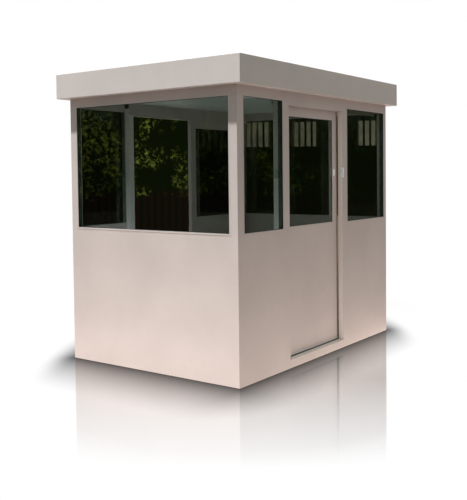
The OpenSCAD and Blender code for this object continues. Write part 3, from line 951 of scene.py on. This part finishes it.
def makeFloorFinish(s):
    m, t, place, surface = startCard("paleFloor")
    split = t.add("SeparateXYZ", {"Vector": place})
    path = t.add("LightPath")
    half = span("front_wall_left", "front_wall_right", "back_wall_left")[1]
    out = [t.math("MAXIMUM", t.math("SUBTRACT", t.math("ABSOLUTE", split.outputs[axis]), half[k]), 0.0)
           for k, axis in enumerate("XY")]
    away = t.math("SQRT", t.math("ADD", t.times(out[0], out[0]), t.times(out[1], out[1])))
    # light thrown up from the floor
    far = t.math("DIVIDE", away, s["floorReach"])
    most = max(c for d, c in s["bounceLeft"] + s["bounceRight"])
    left, right = [bandRamp(t, far, s[end], s["floorReach"], most) for end in ("bounceLeft", "bounceRight")]
    lean = t.math("ADD", t.math("DIVIDE", split.outputs["X"], s["bounceSpan"]), 0.5, clamp=True)
    glow = t.mixColor(1.0, t.mixColor(lean, left, right), (*s["bounceTint"], 1), "MULTIPLY")
    card = t.add("Emission", {"Color": glow, "Strength": most})
    # what the eye sees: white, soft shade at the booth's foot
    reach = s["shadeReach"]
    sides = []
    for k, (axis, low, high) in enumerate((("X", "left", "right"), ("Y", "front", "back"))):
        v = split.outputs[axis]
        below = t.math("DIVIDE", t.math("SUBTRACT", -half[k], v), reach[low])
        above = t.math("DIVIDE", t.math("SUBTRACT", v, half[k]), reach[high])
        side = t.math("MAXIMUM", t.math("MAXIMUM", below, above), 0.0)
        sides.append(t.times(side, side))
    covered = t.math("SUBTRACT", 1.0, t.math("SQRT", t.math("ADD", sides[0], sides[1])), clamp=True)
    # the shade keeps close to the two outer corners
    aside = math.radians(s["shadeTurn"])
    across = t.math("ABSOLUTE", t.math("SUBTRACT", t.times(split.outputs["X"], math.sin(aside)),
                                       t.times(split.outputs["Y"], math.cos(aside))))
    spill = t.math("DIVIDE", t.math("SUBTRACT", across, s["shadeHalf"]), s["shadeSpill"], clamp=True)
    kept = t.math("SUBTRACT", 1.0, t.times(spill, spill), clamp=True)
    covered = t.times(covered, t.math("POWER", kept, 2.0))
    shade = t.remap(t.math("POWER", covered, s["shadeCurve"]), 0.0, 1.0, 1.02, s["footShade"])
    seen = t.add("Emission", {"Color": (1, 1, 1, 1), "Strength": shade})
    turn = math.radians(s["polishTurn"])
    depth = t.math("ADD", t.times(split.outputs["X"], math.cos(turn)),
                   t.times(split.outputs["Y"], math.sin(turn)))
    fade = t.math("POWER", t.remap(depth, s["polishFrom"], s["polishTo"]), s["polishCurve"])
    near = t.remap(away, *s["polishReach"], s["polish"], 0.0)
    mirror = t.add("BsdfGlossy", {"Color": t.mixColor(shade, (0, 0, 0, 1), (1, 1, 1, 1)), "Roughness": 0.05})
    polished = t.add("MixShader")
    t.feed(polished.inputs[0], t.times(fade, near))
    t.feed(polished.inputs[1], seen.outputs[0])
    t.feed(polished.inputs[2], mirror.outputs[0])
    mix = t.add("MixShader")
    t.feed(mix.inputs[0], path.outputs["Is Camera Ray"])
    t.feed(mix.inputs[1], card.outputs[0])
    t.feed(mix.inputs[2], polished.outputs[0])
    t.feed(surface, mix.outputs[0])
    return m


def makeSky(s):
    # plain white to look at and to mirror; as a light it is dimmer, and darkest at the horizon
    world = bpy.data.worlds.new("softSky")
    bpy.context.scene.world = world
    world.use_nodes = True
    t = Tree(world.node_tree)
    back = world.node_tree.nodes["Background"]
    path = t.add("LightPath")
    up = t.add("SeparateXYZ", {"Vector": t.add("TexCoord").outputs["Generated"]}).outputs["Z"]
    tint = t.mixColor(t.remap(up, 0.0, 0.8), (*s["lowSky"], 1), (*s["highSky"], 1))
    seen = t.math("MAXIMUM", path.outputs["Is Camera Ray"], path.outputs["Is Glossy Ray"])
    t.feed(back.inputs["Color"], t.mixColor(seen, tint, (1, 1, 1, 1)))
    back.inputs["Strength"].default_value = 1.0


def hangLight(name, kind, power, tint, place, toward):
    lamp = bpy.data.lights.new(name, kind)
    lamp.energy = power
    lamp.color = tint
    ob = bpy.data.objects.new(name, lamp)
    bpy.context.scene.collection.objects.link(ob)
    ob.location = place
    ob.rotation_euler = Vector(toward).to_track_quat("-Z", "Y").to_euler()
    return ob


def makeStage(s):
    bm = bmesh.new()
    bmesh.ops.create_circle(bm, cap_ends=True, segments=96, radius=s["floorRadius"])
    for v in bm.verts:
        v.co.z = -s["floorDown"]
    linkMesh("paleFloor", bm, makeFloorFinish(s))
    makeSky(s)
    high, turn = math.radians(s["keyHeight"]), math.radians(s["keyTurn"])
    key = hangLight("keyLight", "SUN", s["key"], s["keyTint"], (0, 0, 6),
                    (math.cos(high) * math.cos(turn), -math.cos(high) * math.sin(turn), -math.sin(high)))
    key.data.angle = math.radians(s["keyAngle"])
    wallX, wallY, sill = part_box("left_wall")[1].x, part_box("front_sill")[1].y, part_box("glass_left")[0].z
    for name in ("endFill", "frontFill"):
        power, off, down, toward, size = s[name]
        place = (wallX + off, 0, sill - down) if name == "endFill" else (0, wallY + off, sill - down)
        fill = hangLight(name, "AREA", power, s["roomTint"], place, toward)
        fill.data.shape = "RECTANGLE"
        fill.data.size, fill.data.size_y = size
        fill.visible_camera = False
        fill.visible_glossy = False
        fill.visible_transmission = False


surround = {"radius": 40.0, "low": -3.5, "high": 6.0, "clump": 0.42, "leaf": 4.5,
            "clumpEdge": (0.47, 0.60), "leafEdge": (0.50, 0.70),
            "shade": (0.010, 0.014, 0.004), "green": (0.56, 0.57, 0.11), "earth": (0.010, 0.011, 0.005),
            "slat": (0.024, 0.011, 0.009), "slatPitch": 0.42, "slatGap": 0.45,
            "slatTop": 0.35, "fade": 0.3, "ragged": 0.5,
            # a dark railing with pale boards between its bars, out in front; turns are in radians
            "railFrom": -0.96, "railTo": -0.26, "boardLow": 3.1, "boardHigh": 4.55,
            "board": (0.62, 0.60, 0.40), "rail": (0.06, 0.065, 0.03), "barPitch": 0.37, "barShare": 0.36,
            "boardGroups": ((-0.626, 0.0175), (-0.555, 0.0175), (-0.466, 0.0150)),
            "duskFrom": 0.48, "duskTo": 0.66, "dusk": 0.28}


def makeSurround(s):
    # dark mottled card a long way off: only the glass shows it, in what it mirrors and what it lets through
    bm = bmesh.new()
    sides, radius = 64, s["radius"]
    turns = [2 * math.pi * k / sides for k in range(sides)]
    bridge(bm, [[bm.verts.new((radius * math.cos(a), radius * math.sin(a), z)) for a in turns]
                for z in (s["low"], s["high"])])
    m, t, place, surface = startCard("darkCard")
    clump = t.remap(t.noise(place, s["clump"], 3.0, 0.6), *s["clumpEdge"])
    speck = t.remap(t.noise(place, s["leaf"], 3.0, 0.75), *s["leafEdge"])
    split = t.add("SeparateXYZ", {"Vector": place})
    turn = t.math("ARCTAN2", split.outputs["Y"], split.outputs["X"])
    lit = t.times(t.times(clump, speck), t.remap(turn, s["duskFrom"], s["duskTo"], s["dusk"], 1.0))
    leaf = t.mixColor(lit, (*s["shade"], 1), (*s["green"], 1))
    # plain upright slats low down
    slat = t.math("FRACT", t.times(turn, radius / s["slatPitch"]))
    wood = t.mixColor(t.math("GREATER_THAN", slat, s["slatGap"]), (*s["earth"], 1), (*s["slat"], 1))
    ragged = t.math("ADD", split.outputs["Z"], t.times(speck, s["ragged"]))
    tone = t.mixColor(t.remap(ragged, s["slatTop"], s["slatTop"] + s["fade"]), wood, leaf)
    ahead = t.times(t.math("GREATER_THAN", turn, s["railFrom"]), t.math("LESS_THAN", turn, s["railTo"]))
    bar = t.math("FRACT", t.times(turn, radius / s["barPitch"]))
    gap = t.math("GREATER_THAN", bar, s["barShare"])
    group = 0.0
    for centre, half in s["boardGroups"]:
        off = t.math("ABSOLUTE", t.math("SUBTRACT", turn, centre))
        group = t.math("MAXIMUM", group, t.math("LESS_THAN", off, half))
    rows = t.times(t.math("GREATER_THAN", split.outputs["Z"], s["boardLow"]),
                   t.math("LESS_THAN", split.outputs["Z"], s["boardHigh"]))
    aged = t.remap(t.noise(place, 1.6, 3.0, 0.6), 0.3, 0.7, 0.55, 1.0)
    board = t.times(t.times(gap, rows), t.times(group, aged))
    behind = t.mixColor(t.times(speck, rows), (*s["shade"], 1), (*s["rail"], 1))
    rail = t.mixColor(board, behind, (*s["board"], 1))
    tone = t.mixColor(ahead, tone, rail)
    glow = t.add("Emission", {"Color": tone, "Strength": 1.0})
    t.feed(surface, glow.outputs[0])
    ob = linkMesh("darkCard", bm, m)
    ob.visible_camera = False
    ob.visible_diffuse = False
    ob.visible_shadow = False


makeStage(stage)
makeSurround(surround)
bpy.context.scene.view_settings.view_transform = "Standard"
print("stage lit")
